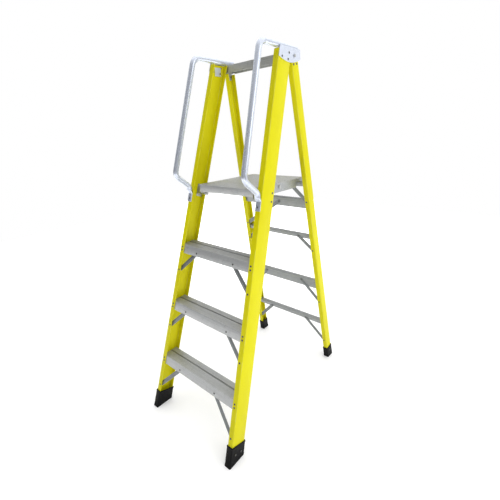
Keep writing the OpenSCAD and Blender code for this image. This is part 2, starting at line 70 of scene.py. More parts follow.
def cad_mesh(node):
    """A CAD node as a bmesh whose shared corners are merged. The caller frees it."""
    bm = bmesh.new()
    bm.from_mesh(frame["nodes"][node].data)
    bmesh.ops.remove_doubles(bm, verts=bm.verts, dist=SAME)
    return bm


def flat_directions(faces):
    """Unit normals of the largest flat areas, largest first, opposite sides counted together."""
    totals = {}
    for face in faces:
        n = face.normal
        if abs(n.x) > 1e-3 and n.x < 0 or abs(n.x) <= 1e-3 and (n.y < 0 or abs(n.y) < 1e-3 and n.z < 0):
            n = -n
        key = tuple(round(c, 3) for c in n)
        area, total = totals.get(key, (0.0, Vector()))
        totals[key] = (area + face.calc_area(), total + n * face.calc_area())
    ranked = sorted(totals.values(), key=lambda t: -t[0])
    return [total.normalized() for _, total in ranked]


def loose_solids(node):
    """The separate solids of a CAD node: for each, its corner points and its faces' directions."""
    bm = cad_mesh(node)
    unseen, found = set(bm.faces), []
    while unseen:
        stack, group = [unseen.pop()], []
        while stack:
            face = stack.pop()
            group.append(face)
            for edge in face.edges:
                for other in edge.link_faces:
                    if other in unseen:
                        unseen.remove(other)
                        stack.append(other)
        corners = np.array([v.co[:] for f in group for v in f.verts])
        found.append((corners, flat_directions(group)))
    bm.free()
    return sorted(found, key=lambda s: tuple(np.round(s[0].mean(0), 4)))


def local_points(node, place):
    """A CAD node's corners in the frame of reference of place."""
    back = np.array(place.inverted())
    co = np.array([v.co[:] for v in frame["nodes"][node].data.vertices])
    return co @ back[:3, :3].T + back[:3, 3]


def local_box(node, place):
    p = local_points(node, place)
    return Vector(p.min(0)), Vector(p.max(0))


def axes(x, y, z, origin):
    m = Matrix((x, y, z)).transposed().to_4x4()
    m.translation = origin
    return m


def slope_of(node):
    """Frame of reference of a right-hand rail or leg: x out of its web, y from its front face to
    its rear face, z up along it. Its origin is the foot of the front outer corner, at floor level."""
    bm = cad_mesh(node)
    x, y = flat_directions(bm.faces)[:2]
    bm.free()
    z = x.cross(y).normalized()
    co = np.array([v.co[:] for v in frame["nodes"][node].data.vertices])
    planes = Matrix((x, y, Vector((0, 0, 1))))
    foot = planes.inverted() @ Vector((float((co @ np.array(x)).max()), float((co @ np.array(y)).min()), 0))
    return axes(x, y, z, foot)


RAIL = slope_of("front_rail_right")
LEG = slope_of("rear_leg_right")


def lean_of(place):
    """How far a slope's z axis leans towards +Y, in radians."""
    return math.atan2(place.col[2].y, place.col[2].z)


def face_plane(place):
    """The plane of both rails' front faces: x across the ladder, y into the frame, z up the slope."""
    lean = lean_of(place)
    across, into = Vector((1, 0, 0)), Vector((0, math.cos(lean), -math.sin(lean)))
    return axes(across, into, across.cross(into), Vector((0, place.translation.y, 0)))


def web_plane(place):
    """The plane of the right-hand web: x out of it, y towards the rear, z up, its origin at the foot."""
    turn = Matrix.Rotation(lean_of(place), 4, "X")
    return place @ turn


FRONT, REAR, WEB = face_plane(RAIL), face_plane(LEG), web_plane(RAIL)
UPRIGHT = Matrix(((0, 0, 1, 0), (1, 0, 0, 0), (0, 1, 0, 0), (0, 0, 0, 1)))  # outline in Y and Z, run along X

# ---------------------------------------------------------------- making pieces

SMOOTH_BELOW, ROUND_ABOVE, FLAT_BELOW = math.radians(32), math.radians(40), math.radians(1)
OTHER_SIDE = Vector((0.7, 0.3, 5.0))  # where a mirrored piece lies in the materials' patterns


def round_edges(piece, width):
    """Rounds a piece's sharp edges to a width."""
    rounding = piece.modifiers.new("rounding", "BEVEL")
    rounding.width, rounding.segments, rounding.limit_method = width, 2, "ANGLE"
    rounding.angle_limit, rounding.harden_normals = ROUND_ABOVE, True


def finish_piece(name, bm, body, slot, node, bevel=0.0, finish=None):
    """Turns a bmesh into a piece of the object that rides on a body in place of a CAD node. Its finish
    is the slot's own unless another is named."""
    bmesh.ops.recalc_face_normals(bm, faces=bm.faces)
    mesh = bpy.data.meshes.new(name)
    bm.to_mesh(mesh)
    bm.free()
    piece = bpy.data.objects.new(name, mesh)
    bpy.context.scene.collection.objects.link(piece)
    mesh.shade_smooth()
    mesh.set_sharp_from_angle(angle=SMOOTH_BELOW)
    if bevel:
        round_edges(piece, bevel)
    mesh.materials.append(MATERIALS[finish or slot])
    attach(piece, body)
    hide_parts(node)


def solid(points, faces, place, marks=None, grain=None, mirrored=False):
    """A bmesh from points in a frame of reference. grain is the frame that the material runs along, and
    marks say how worn each point is, from 0 to 1, or how much painted shade and dirt darken it, from 0 to -1."""
    bm = bmesh.new()
    local = bm.verts.layers.float_vector.new("grain")
    edge = bm.verts.layers.float.new("edge")
    along = (grain or place).inverted() @ place
    verts = []
    for i, p in enumerate(points):
        at = place @ Vector(p)
        if mirrored:
            at.x = -at.x
        v = bm.verts.new(at)
        q = along @ Vector(p)
        v[local] = q + OTHER_SIDE if mirrored else q
        v[edge] = marks[i] if marks else 0.0
        verts.append(v)
    for f in faces:
        bm.faces.new([verts[i] for i in f])
    return bm


def both(name, build, body, slot, bevel=0.0):
    """A right-hand piece and its mirror image in place of the CAD nodes of the same names."""
    for side, mirrored in (("right", False), ("left", True)):
        node = f"{name}_{side}"
        finish_piece(node, build(mirrored), body, slot, node, bevel)


def ramp(value, start, run):
    """0 up to a start and 1 from a run later, straight between."""
    return min(max((value - start) / run, 0), 1)


def eased(t):
    """A ramp from 0 to 1 with a soft start and end."""
    return t * t * (3 - 2 * t)


def skin(rings, sides):
    """The faces of a closed skin over rings of points, flat at both ends."""
    faces = [list(range(sides))[::-1], [(rings - 1) * sides + k for k in range(sides)]]
    for i in range(rings - 1):
        a, b = i * sides, (i + 1) * sides
        faces += [[a + k, a + (k + 1) % sides, b + (k + 1) % sides, b + k] for k in range(sides)]
    return faces


def curve(before, corner, after, r, steps):
    """The points of a curve of radius r that rounds a corner between two others."""
    here = Vector(corner)
    back, ahead = (Vector(before) - here).normalized(), (Vector(after) - here).normalized()
    half = back.angle(ahead) / 2
    run = r / math.tan(half)
    centre = here + (back + ahead).normalized() * (r / math.sin(half))
    a, b = here + back * run - centre, here + ahead * run - centre
    swing = a.angle_signed(b)
    return [centre + Matrix.Rotation(-swing * k / steps, 2) @ a for k in range(steps + 1)]


def rounded(corners, steps=4):
    """A closed outline from corners (x, y, radius): list of (x, y, mark), mark 1 on a corner's curve.
    Where a corner is sharp, in place of a radius it gives minus how much painted shade and dirt darken it
    there."""
    out = []
    for i, (x, y, r) in enumerate(corners):
        if r <= 0:
            out.append((x, y, r))
            continue
        before, after = corners[i - 1][:2], corners[(i + 1) % len(corners)][:2]
        for k, p in enumerate(curve(before, (x, y), after, r, steps)):
            out.append((p.x, p.y, math.sin(math.pi * k / steps)))
    return out


def prism(outline, low, high, place, cuts, mirrored=False):
    """The outline run along z from low to high, each a height or a function of the outline's point."""
    ends = [e if callable(e) else (lambda x, y, e=e: e) for e in (low, high)]
    points, marks = [], []
    for k in range(cuts + 2):
        t = k / (cuts + 1)
        for x, y, mark in outline:
            points.append((x, y, (1 - t) * ends[0](x, y) + t * ends[1](x, y)))
            marks.append(mark)
    return solid(points, skin(cuts + 2, len(outline)), place, marks, mirrored=mirrored)


def level(place, height):
    """Where the line up a slope through an outline's point meets a height above the floor."""
    def run(x, y):
        at = place @ Vector((x, y, 0))
        return (height - at.z) / place.col[2].z

    return run


def revolved(profile, place, sides=20):
    """A closed turned solid about z from (radius, z) pairs that start and end on the axis."""
    points = [(0, 0, profile[0][1])]
    for r, z in profile[1:-1]:
        for k in range(sides):
            a = 2 * math.pi * k / sides
            points.append((r * math.cos(a), r * math.sin(a), z))
    points.append((0, 0, profile[-1][1]))
    rings = len(profile) - 2
    last = len(points) - 1
    faces = []
    for k in range(sides):
        j = (k + 1) % sides
        faces.append([0, 1 + j, 1 + k])
        for r in range(rings - 1):
            a, b = 1 + r * sides, 1 + (r + 1) * sides
            faces.append([a + k, a + j, b + j, b + k])
        top = 1 + (rings - 1) * sides
        faces.append([top + k, top + j, last])
    return solid(points, faces, place)

# ---------------------------------------------------------------- materials


class Shader:
    """A Principled material and the nodes that feed it."""

    def __init__(self, name, **sockets):
        self.material = bpy.data.materials.new(name)
        self.material.use_nodes = True
        self.tree = self.material.node_tree
        self.surface = self.tree.nodes["Principled BSDF"]
        for socket, value in sockets.items():
            self.surface.inputs[socket.replace("_", " ")].default_value = value

    def add(self, kind, inputs=(), **settings):
        node = self.tree.nodes.new("ShaderNode" + kind)
        for key, value in settings.items():
            setattr(node, key, value)
        for socket, value in dict(inputs).items():
            if isinstance(value, bpy.types.NodeSocket):
                self.tree.links.new(value, node.inputs[socket])
            else:
                node.inputs[socket].default_value = value
        return node

    def along(self, source, scale, shift=(0, 0, 0)):
        """Coordinates from a piece's own grain or from the row frame, in cells of scale to a metre."""
        if source == "grain":
            where = self.add("Attribute", attribute_name="grain").outputs["Vector"]
        else:
            where = self.add("TexCoord").outputs["Object"]
        return self.add("Mapping", {"Vector": where, "Scale": scale, "Location": shift}).outputs[0]

    def noise(self, where, detail=3.0, rough=0.55, low=0.3, high=0.7):
        """Noise of one cell to a unit, whose values from low to high are spread over 0 to 1."""
        raw = self.add("TexNoise", {"Vector": where, "Scale": 1.0, "Detail": detail, "Roughness": rough})
        return self.spread(raw.outputs["Fac"], low, high)

    def spread(self, value, low, high, to_low=0.0, to_high=1.0):
        return self.add("MapRange", {0: value, 1: low, 2: high, 3: to_low, 4: to_high}).outputs[0]

    def times(self, a, b):
        return self.add("Math", {0: a, 1: b}, operation="MULTIPLY").outputs[0]

    def plus(self, a, b):
        return self.add("Math", {0: a, 1: b}, operation="ADD").outputs[0]

    def blend(self, amount, a, b):
        """Colour a, going to colour b with amount."""
        node = self.add("Mix", {0: amount, 6: a, 7: b}, data_type="RGBA")
        return node.outputs[2]

    def bump(self, *layers):
        """Bumps on top of each other: each (height from 0 to 1, depth in metres)."""
        normal = None
        for height, depth in layers:
            inputs = {"Strength": 1.0, "Distance": depth, "Height": height}
            if normal:
                inputs["Normal"] = normal
            normal = self.add("Bump", inputs).outputs[0]
        self.tree.links.new(normal, self.surface.inputs["Normal"])

    def feed(self, socket, value):
        self.tree.links.new(value, self.surface.inputs[socket])

    def edge(self):
        return self.add("Attribute", attribute_name="edge").outputs["Fac"]


def linear(c):
    """The linear value of a display's value from 0 to 255."""
    return ((c / 255 + 0.055) / 1.055) ** 2.4 if c > 10 else c / 255 / 12.92


def rgb(r, g, b):
    return linear(r), linear(g), linear(b), 1.0


YELLOW, YELLOW_DEEP, YELLOW_LIGHT = rgb(224, 218, 12), rgb(214, 204, 6), rgb(232, 228, 26)
YELLOW_FIBRE, YELLOW_WORN, SCUFF = rgb(202, 196, 24), rgb(236, 232, 140), rgb(118, 114, 50)
# the third of these is the dark grey that paints shade and dirt into hollows
GRIME, BRIGHT, HOLLOW_SHADE_DIRT = rgb(92, 92, 90), rgb(236, 238, 240), rgb(70, 69, 66)
RUBBER, RUBBER_GREY, RUBBER_DUST = rgb(2, 2, 3), rgb(5, 5, 6), rgb(18, 18, 19)

MILL = rgb(196, 197, 197), rgb(168, 170, 171)  # each metal's light and dark lines
# painted shade: mill aluminium made darker for the rear rungs, which face away from the light
SHADED_MILL = rgb(172, 175, 176), rgb(140, 143, 145)
# brushed aluminium: its grey is the metal's own, its blue tint a painted reflection of a blue sky
BRUSHED_SKY_TINTED = rgb(224, 230, 243), rgb(198, 205, 219)
PRESSED = rgb(190, 193, 195), rgb(156, 159, 162)
# painted shade: a darker copy of the braces' aluminium, for braces that face away from the light
SHADED_STRAP = rgb(144, 148, 149), rgb(110, 114, 115)
ZINC = rgb(206, 208, 208), rgb(164, 166, 167)
# painted shade: rivet heads far darker than zinc, as heads seen in shade
SHADED_RIVET = rgb(120, 120, 118), rgb(78, 78, 77)


def fibreglass():
    """Pultruded glass fibre: strands under a gloss coat, a veil of loose fibre, worn edges, scuffs."""
    s = Shader("yellow_fibreglass", IOR=1.45, Specular_IOR_Level=0.13)
    cloud = s.noise(s.along("grain", (9, 9, 3)), 3)
    strand = s.noise(s.along("grain", (420, 420, 5)), 4, 0.6)
    veil = s.noise(s.along("grain", (240, 240, 60)), 5, 0.7, 0.35, 0.65)
    speck = s.noise(s.along("grain", (900, 900, 500)), 2, 0.6, 0.62, 0.8)
    scuff = s.noise(s.along("grain", (38, 38, 9), (3, 1, 2)), 6, 0.75, 0.6, 0.74)
    worn = s.times(s.edge(), s.noise(s.along("grain", (60, 60, 14)), 4, 0.7, 0.42, 0.62))
    colour = s.blend(cloud, YELLOW, YELLOW_DEEP)
    colour = s.blend(s.times(strand, 0.30), colour, YELLOW_LIGHT)
    colour = s.blend(s.times(veil, 0.16), colour, YELLOW_FIBRE)
    colour = s.blend(s.times(speck, 0.25), colour, YELLOW_DEEP)
    colour = s.blend(s.times(worn, 0.45), colour, YELLOW_WORN)
    s.feed("Base Color", s.blend(s.times(scuff, 0.10), colour, SCUFF))
    gloss = s.plus(s.spread(veil, 0, 1, 0.30, 0.44), s.times(s.plus(worn, scuff), 0.14))
    s.feed("Roughness", gloss)
    s.bump((strand, 0.09 * MM), (veil, 0.06 * MM), (speck, 0.04 * MM))
    return s.material


def metal(name, source, colours, streak, roughness, metallic, grime=0.25):
    """Extruded or rolled metal: fine draw lines along its grain, handling marks, dull patches, dirt, and
    painted shade and dirt in its hollows.
    """
    s = Shader(name, Metallic=metallic, IOR=1.5)
    lines = s.noise(s.along(source, streak), 5, 0.65)
    fine = s.noise(s.along(source, tuple(3.1 * c for c in streak), (1, 2, 3)), 3, 0.6)
    patch = s.noise(s.along(source, (22, 22, 22)), 5, 0.65, 0.38, 0.64)
    dull = s.noise(s.along(source, (75, 75, 75), (5, 0, 2)), 6, 0.72, 0.52, 0.7)
    nick = s.noise(s.along(source, (310, 310, 310), (0, 4, 1)), 4, 0.7, 0.66, 0.74)
    bright = s.times(s.edge(), s.noise(s.along(source, (90, 90, 90)), 4, 0.7, 0.36, 0.6))
    light, dark = colours
    colour = s.blend(lines, light, dark)
    colour = s.blend(s.times(patch, 0.28), colour, dark)
    colour = s.blend(s.times(dull, grime), colour, GRIME)
    colour = s.blend(s.times(bright, 0.35), colour, BRIGHT)
    # painted shade and dirt: points with negative marks, in the valleys between ribs and in the sunk groove,
    # darken towards a dark grey
    colour = s.blend(s.spread(s.edge(), 0, -1, 0, 0.6), colour, HOLLOW_SHADE_DIRT)
    s.feed("Base Color", s.blend(s.times(nick, 0.30), colour, light))
    matt = s.plus(s.times(lines, 0.6), s.times(dull, 0.4))
    s.feed("Roughness", s.plus(s.spread(matt, 0, 1, *roughness), s.times(nick, 0.08)))
    s.bump((lines, 0.05 * MM), (fine, 0.02 * MM), (nick, 0.06 * MM))
    return s.material


def rubber():
    """Moulded rubber: a fine grain, grey where it is handled, dust in its hollows."""
    s = Shader("black_rubber", IOR=1.45, Specular_IOR_Level=0.2)
    grain = s.noise(s.along("grain", (1400, 1400, 1400)), 3, 0.6)
    mould = s.noise(s.along("grain", (60, 60, 60)), 5, 0.7)
    dust = s.noise(s.along("grain", (140, 140, 140), (2, 2, 0)), 6, 0.75, 0.48, 0.72)
    worn = s.times(s.edge(), s.noise(s.along("grain", (120, 120, 120)), 4, 0.7, 0.4, 0.6))
    colour = s.blend(mould, RUBBER, RUBBER_GREY)
    colour = s.blend(s.times(dust, 0.30), colour, RUBBER_DUST)
    s.feed("Base Color", s.blend(s.times(worn, 0.5), colour, RUBBER_DUST))
    s.feed("Roughness", s.plus(s.spread(mould, 0, 1, 0.46, 0.62), s.times(dust, 0.14)))
    s.bump((grain, 0.12 * MM), (mould, 0.3 * MM))
    return s.material


DRAWN, SPECKLED = (420, 420, 4), (260, 260, 260)  # lines to a metre across and along a metal's grain
SHEEN, SATIN = (0.30, 0.46), (0.34, 0.50)  # a metal's roughness, from its lines to its dull patches
MATERIALS = {
    "yellow_fibreglass": fibreglass(),
    "mill_aluminium": metal("mill_aluminium", "grain", MILL, DRAWN, SATIN, 0.35),
    # painted shade: the rear rungs' darker copy of mill aluminium
    "shaded_rung_aluminium": metal("shaded_rung_aluminium", "grain", SHADED_MILL, DRAWN, (0.36, 0.52), 0.35),
    # its blue tint is a painted sky reflection
    "bright_aluminium": metal("bright_aluminium", "grain", BRUSHED_SKY_TINTED, (500, 500, 9), (0.20, 0.34), 0.5, 0.12),
    # painted shade: the straps' darker aluminium
    "shaded_strap_aluminium": metal("shaded_strap_aluminium", "grain", SHADED_STRAP, (380, 380, 12), (0.40, 0.58), 0.6),
    # painted shade: a darkened steel for all rivet heads
    "shaded_rivet_steel": metal("shaded_rivet_steel", "grain", SHADED_RIVET, SPECKLED, SHEEN, 0.8),
    "black_rubber": rubber(),
}
CAD_MATERIALS = {
    "mill_aluminium": metal("mill_aluminium_frame", "row", MILL, DRAWN[::-1], SATIN, 0.35),
    # its blue tint is a painted sky reflection
    "bright_aluminium": metal("bright_aluminium_frame", "row", BRUSHED_SKY_TINTED, (90, 300, 300), SATIN, 0.45, 0.10),
    "pressed_aluminium": metal("pressed_aluminium_frame", "row", PRESSED, (60, 200, 200), SATIN, 0.6),
    "zinc_steel": metal("zinc_steel_frame", "row", ZINC, SPECKLED, SHEEN, 0.4),
}

# ---------------------------------------------------------------- rails, legs, treads, rungs

WALL, SHEET = 4 * MM, 2.5 * MM
OUTER, INNER, TIP = 3.2 * MM, 3 * MM, 1.5 * MM  # a channel's corner radii


def channel(node, place, body, low, high):
    """A pultruded channel with rounded corners in place of a CAD rail or leg."""
    lo, hi = local_box(node + "_right", place)
    depth, flange = hi.y - lo.y, -lo.x
    outline = rounded([
        (0, 0, OUTER), (0, depth, OUTER), (-flange, depth, TIP), (-flange, depth - WALL, TIP),
        (-WALL, depth - WALL, INNER), (-WALL, WALL, INNER), (-flange, WALL, TIP), (-flange, 0, TIP)])
    both(node, lambda mirrored: prism(outline, low, high, place, 12, mirrored),
         body, "yellow_fibreglass", bevel=0.5 * MM)


lowest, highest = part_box("front_rail_right")
channel("front_rail", RAIL, "front_frame", level(RAIL, lowest.z), level(RAIL, highest.z))
channel("rear_leg", LEG, "rear_frame", level(LEG, lowest.z), level(LEG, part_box("rear_leg_right")[1].z))

RIB_H, RIB_ROUND, NOSE = 1.2 * MM, 0.2 * MM, 1.6 * MM
RIB_START, RIB_FLANK, RIB_FLAT = 0.18, 0.12, 0.40  # in pitches
GROOVE_W, GROOVE_D = 9 * MM, 2.4 * MM
# negative marks that paint shade and dirt: a little in the valleys between a tread's ribs, fully in its
# groove
VALLEY_SHADE_DIRT, GROOVE_SHADE_DIRT = -0.2, -1
LIP, LIP_RISE, HEM = 6 * MM, 3.2 * MM, 0.6 * MM


def ribbed(y0, y1, base, top, pitch, groove):
    """The top line of a tread from y0 to y1: ribs at about a pitch, broken by a sunk groove at a place."""
    spans = [(y0, groove - GROOVE_W / 2), (groove + GROOVE_W / 2, y1)] if groove else [(y0, y1)]
    out = []
    for a, b in spans:
        if out:
            out += [(a, base - GROOVE_D, GROOVE_SHADE_DIRT), (a, base, 0)]
        count = round((b - a) / pitch)
        step = (b - a) / count
        for i in range(count):
            y = a + (i + RIB_START) * step
            flank, flat = RIB_FLANK * step, RIB_FLAT * step
            out += [(y, base, VALLEY_SHADE_DIRT), (y + flank, top, RIB_ROUND),
                    (y + flank + flat, top, RIB_ROUND), (y + 2 * flank + flat, base, VALLEY_SHADE_DIRT)]
        if b < y1:
            out += [(b, base, 0), (b, base - GROOVE_D, GROOVE_SHADE_DIRT)]
    return out


def tread(node, body, slope, back, pitch, groove=0.0, finish=None):
    """A ribbed tread in place of a CAD one: aprons that follow a slope, the rear one turned in at its foot.
    back is the rear apron's depth, and groove is how far along the top the groove lies, from 0 to 1."""
    lo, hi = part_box(node)
    top, front = hi.z, hi.z - lo.z
    y0, y1 = (lo.y + front * slope, hi.y) if slope > 0 else (lo.y, hi.y + back * slope)
    base, foot = top - RIB_H, top - back
    shoulder, under = base + RIB_ROUND, base - SHEET

    def lean(z):
        return (z - top) * slope

    outline = rounded(
        [(y0 + lean(lo.z), lo.z, HEM), (y0 + lean(base), shoulder, NOSE)]
        + ribbed(y0 + 2 * NOSE, y1 - 2 * NOSE, base, top, pitch, groove and y0 + groove * (y1 - y0))
        + [(y1 + lean(base), shoulder, NOSE), (y1 + lean(foot), foot, HEM),
           (y1 + lean(foot) - LIP, foot, HEM), (y1 + lean(foot) - LIP, foot + SHEET, HEM),
           (y1 + lean(foot + LIP_RISE) - SHEET, foot + LIP_RISE, HEM),
           (y1 + lean(under) - SHEET, under, NOSE), (y0 + lean(under) + SHEET, under, NOSE),
           (y0 + lean(lo.z) + SHEET, lo.z, HEM)], 3)
    bm = prism(outline, lo.x, hi.x, UPRIGHT, cuts=6)
    finish_piece(node + "_extrusion", bm, body, "mill_aluminium", node, 0.25 * MM, finish)


front_slope, rear_slope = math.tan(lean_of(RAIL)), math.tan(lean_of(LEG))
for i in (1, 2, 3):
    tread(f"step_{i}", "front_frame", front_slope, back=28 * MM, pitch=4.8 * MM, groove=0.56)
for i in range(1, 6):
    # the rear rungs take a darker copy of the treads' metal: painted shade
    tread(f"rear_rung_{i}", "rear_frame", rear_slope, back=20 * MM, pitch=4.8 * MM, finish="shaded_rung_aluminium")
tread("platform_deck", "platform", 0.0, back=26 * MM, pitch=6.1 * MM)

# ---------------------------------------------------------------- braces and flat pieces

GAUGE, STRAP_EDGE, STRAP_END = 1.9 * MM, 0.25 * MM, 12 * MM
BEAD, BEAD_SPREAD, BEAD_HOLLOW = 1.0 * MM, 0.36, 0.9
BEAD_START, BEAD_RUN, JOGGLE_START, JOGGLE_RUN = 1.5, 0.9, 1.7, 1.1  # in half widths, as are the stations
ROUND_END = 1 - np.cos(np.linspace(math.radians(12), math.radians(90), 8))
STATIONS = np.concatenate([ROUND_END, np.linspace(1.25, 3.2, 9)])
PLACES = np.linspace(-1, 1, 13)


def strap(node, plane, body):
    """A pressed strap with round ends and a long bead in place of a CAD brace, measured in a plane.
    A joggle near its lower end takes it from one end's depth to the other's."""
    p = local_points(node, plane)
    flat = p[:, [0, 2]]
    middle = (flat.max(0) + flat.min(0)) / 2
    along = np.linalg.svd(flat - flat.mean(0), full_matrices=False)[2][0]
    along = along * (np.sign(along[1]) or 1)
    across = np.array([-along[1], along[0]])
    s, v = (flat - middle) @ along, (flat - middle) @ across
    half, width = (s.max() - s.min()) / 2, (v.max() - v.min()) / 2
    middle = middle + along * (s.max() + s.min()) / 2 + across * (v.max() + v.min()) / 2
    lower, upper = p[s < s.min() + STRAP_END, 1], p[s > s.max() - STRAP_END, 1]
    thick = lower.max() - lower.min()
    stations = list(STATIONS * width - half)
    stations += [-t for t in reversed(stations)]
    n, m = len(stations), len(PLACES)
    points = []
    for t in stations:
        near = half - abs(t)
        w = width * math.sqrt(max(0.0, 1 - (1 - near / width) ** 2)) if near < width else width
        joggle = eased(ramp(t + half, JOGGLE_START * width, JOGGLE_RUN * width))
        back = lower.min() + (upper.min() - lower.min()) * joggle + thick
        rise = ramp(near, BEAD_START * width, BEAD_RUN * width)
        for q in PLACES:
            crown = BEAD * rise * math.exp(-((q / BEAD_SPREAD) ** 4))
            edge = STRAP_EDGE * (abs(q) == 1)
            x, z = middle + along * t + across * (q * w)
            points += [(x, back - GAUGE - crown + edge, z), (x, back - crown * BEAD_HOLLOW - edge, z)]
    marks = [float(i in (0, n - 1) or j in (0, m - 1)) for i in range(n) for j in range(m) for _ in (0, 1)]

    def at(i, j, side):
        return 2 * (i * m + j) + side

    faces = []
    for i in range(n - 1):
        for j in range(m - 1):
            faces.append([at(i, j, 0), at(i + 1, j, 0), at(i + 1, j + 1, 0), at(i, j + 1, 0)])
            faces.append([at(i, j, 1), at(i, j + 1, 1), at(i + 1, j + 1, 1), at(i + 1, j, 1)])
        for j in (0, m - 1):
            faces.append([at(i, j, 0), at(i, j, 1), at(i + 1, j, 1), at(i + 1, j, 0)])
    for i in (0, n - 1):
        for j in range(m - 1):
            faces.append([at(i, j, 0), at(i, j + 1, 0), at(i, j + 1, 1), at(i, j, 1)])
    x, z = Vector((across[0], 0, across[1])), Vector((along[0], 0, along[1]))
    grain = axes(x, Vector((0, 1, 0)), z, Vector())
    bm = solid(points, faces, plane, marks, plane @ grain)
    # the straps take a darker copy of their bright aluminium slot: painted shade
    finish_piece(node + "_strap", bm, body, "bright_aluminium", node, finish="shaded_strap_aluminium")


for side in ("left", "right"):
    for i in (1, 2, 3):
        strap(f"step_brace_{i}_{side}", FRONT, "front_frame")
    for i in (1, 2, 3, 5):
        strap(f"rear_brace_{i}_{side}", REAR, "rear_frame")
strap("rear_diagonal", REAR, "rear_frame")

# ---------------------------------------------------------------- handrails

TUBE_SIDES, TUBE_GAP = 28, 20 * MM
RUN_OFF = 113 * MM  # from the rails' front faces to the middle of a handrail's long run
TURN_IN, AT_RAIL, PRESSED, SEATED = 1.255, 1.190, 1.172, 1.158  # heights of its corners in the web's plane
BENDS = 45 * MM, 35 * MM, 24 * MM, 12 * MM, 12 * MM
PRESS_TOP, PRESS_RUN = 1.181, 0.024  # where the tube begins to flatten, and over what length
FOOT_FLAT, FOOT_SPREAD, FOOT_WEAR = 5 * MM, 0.3 * MM, 0.6
CLEAR, TOUCHING = 1 * MM, 0.1 * MM


def bent(corners, bends, steps=10):
    """Points along a path in a plane whose corners are bent to the radii."""
    line = [Vector(corners[0])]
    for before, corner, after, r in zip(corners, corners[1:], corners[2:], bends):
        line += curve(before, corner, after, r, steps)
    return line + [Vector(corners[-1])]


def even(line, gap):
    """The same path with its long straight runs cut into lengths of about gap."""
    out = [line[0]]
    for a, b in zip(line, line[1:]):
        n = max(1, round((b - a).length / gap))
        out += [a + (b - a) * (k + 1) / n for k in range(n)]
    return out


def handrail(mirrored):
    """A bent tube, capped at its rear end, whose foot is pressed flat on the rail's front flange."""
    p = local_points("handrail_right", WEB)
    lean = lean_of(RAIL)
    r = -p[:, 0].min() / 2
    height, rear, foot = p[:, 2].max() - r, p[:, 1].max(), p[:, 2].min()

    def off(distance, z):
        return z * math.tan(lean) - distance / math.cos(lean), z

    beside, flat = r + CLEAR, FOOT_FLAT / 2 + TOUCHING
    corners = [(rear, height), off(RUN_OFF, height), off(RUN_OFF, TURN_IN), off(beside, AT_RAIL),
               off(beside, PRESSED), off(flat, SEATED), off(flat, foot + CLEAR)]
    line = even(bent(corners, BENDS), TUBE_GAP)
    runs = [(b - a).normalized() for a, b in zip(line, line[1:])]
    points, marks, n = [], [], len(line)
    for i, at in enumerate(line):
        d = (runs[max(i - 1, 0)] + runs[min(i, n - 2)]).normalized()
        normal = Vector((-d.y, d.x))
        press = eased(ramp(PRESS_TOP - at.y, 0, PRESS_RUN)) if i > n / 2 else 0
        wide, deep = r + press * FOOT_SPREAD, r + press * (FOOT_FLAT / 2 - r)
        power = 2 + press * 3  # 2 is round, 5 is nearly square
        for k in range(TUBE_SIDES):
            a = 2 * math.pi * k / TUBE_SIDES
            c, s = math.cos(a), math.sin(a)
            u = math.copysign(abs(c) ** (2 / power), c) * wide
            v = math.copysign(abs(s) ** (2 / power), s) * deep
            points.append((u - r, at.x + normal.x * v, at.y + normal.y * v))
            marks.append(FOOT_WEAR if press > 0.5 and abs(c) > 0.9 else 0.0)
    return solid(points, skin(n, TUBE_SIDES), WEB, marks, RAIL, mirrored)


both("handrail", handrail, "front_frame", "bright_aluminium", bevel=0.8 * MM)

# ---------------------------------------------------------------- rubber boots

BOOT_ROUND, POCKET_ROUND = 6 * MM, 2.5 * MM
# rings of a boot, in millimetres: how far in from its sides, and how far above the floor or its mouth
SOLE = (1.5, 0), (0.3, 1.2), (0, 2.5), (0, 4.5), (1.1, 5.1), (1.1, 5.9), (0, 6.5), (0, 9), (1.0, 11)
SHOULDER = 1.2, 13, -11  # this far above the floor or below the mouth, whichever is higher
RIM = (1.2, -7), (0.1, -5.5), (0, -2), (0.9, -0.5), (2, 0)
POCKET = (-0.6, 0), (-0.1, -1.2)  # in from the rail's sides
POCKET_FLOOR = 0.45  # as a part of the mouth's height
WORN_RINGS = 0, 1, 2, 12, 13


def boot(node, place, rail, body):
    """A moulded boot: a sole with a groove round it, plain walls, a bead round its mouth, a pocket for
    the rail or leg."""
    lo, hi = local_box(node + "_right", place)
    rail_lo, rail_hi = local_box(rail + "_right", place)
    ground, mouth = level(place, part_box(node + "_right")[0].z), hi.z

    def ring(inset, height, inner=False):
        a, b = (rail_lo, Vector((0, rail_hi.y, 0))) if inner else (lo, hi)
        x0, x1, y0, y1 = a.x + inset, b.x - inset, a.y + inset, b.y - inset
        r = POCKET_ROUND if inner else BOOT_ROUND - inset
        outline = rounded([(x1, y0, r), (x1, y1, r), (x0, y1, r), (x0, y0, r)], 5)
        return [(x, y, height(x, y) if callable(height) else height, mark) for x, y, mark in outline]

    rings = [ring(inset * MM, lambda x, y, h=h: ground(x, y) + h * MM) for inset, h in SOLE]
    inset, above, below = (c * MM for c in SHOULDER)
    rings.append(ring(inset, lambda x, y: max(ground(x, y) + above, mouth + below)))
    rings += [ring(inset * MM, mouth + h * MM) for inset, h in RIM]
    rings += [ring(inset * MM, mouth + h * MM, True) for inset, h in POCKET]
    rings.append(ring(POCKET[-1][0] * MM, mouth * POCKET_FLOOR, True))
    points = [p[:3] for r in rings for p in r]
    marks = [0.9 * p[3] + 0.1 if i in WORN_RINGS else 0.3 * p[3] for i, r in enumerate(rings) for p in r]
    faces = skin(len(rings), len(rings[0]))
    both(node, lambda mirrored: solid(points, faces, place, marks, mirrored=mirrored), body, "black_rubber")


boot("front_boot", RAIL, "front_rail", "front_frame")
boot("rear_boot", LEG, "rear_leg", "rear_frame")

# ---------------------------------------------------------------- rivets

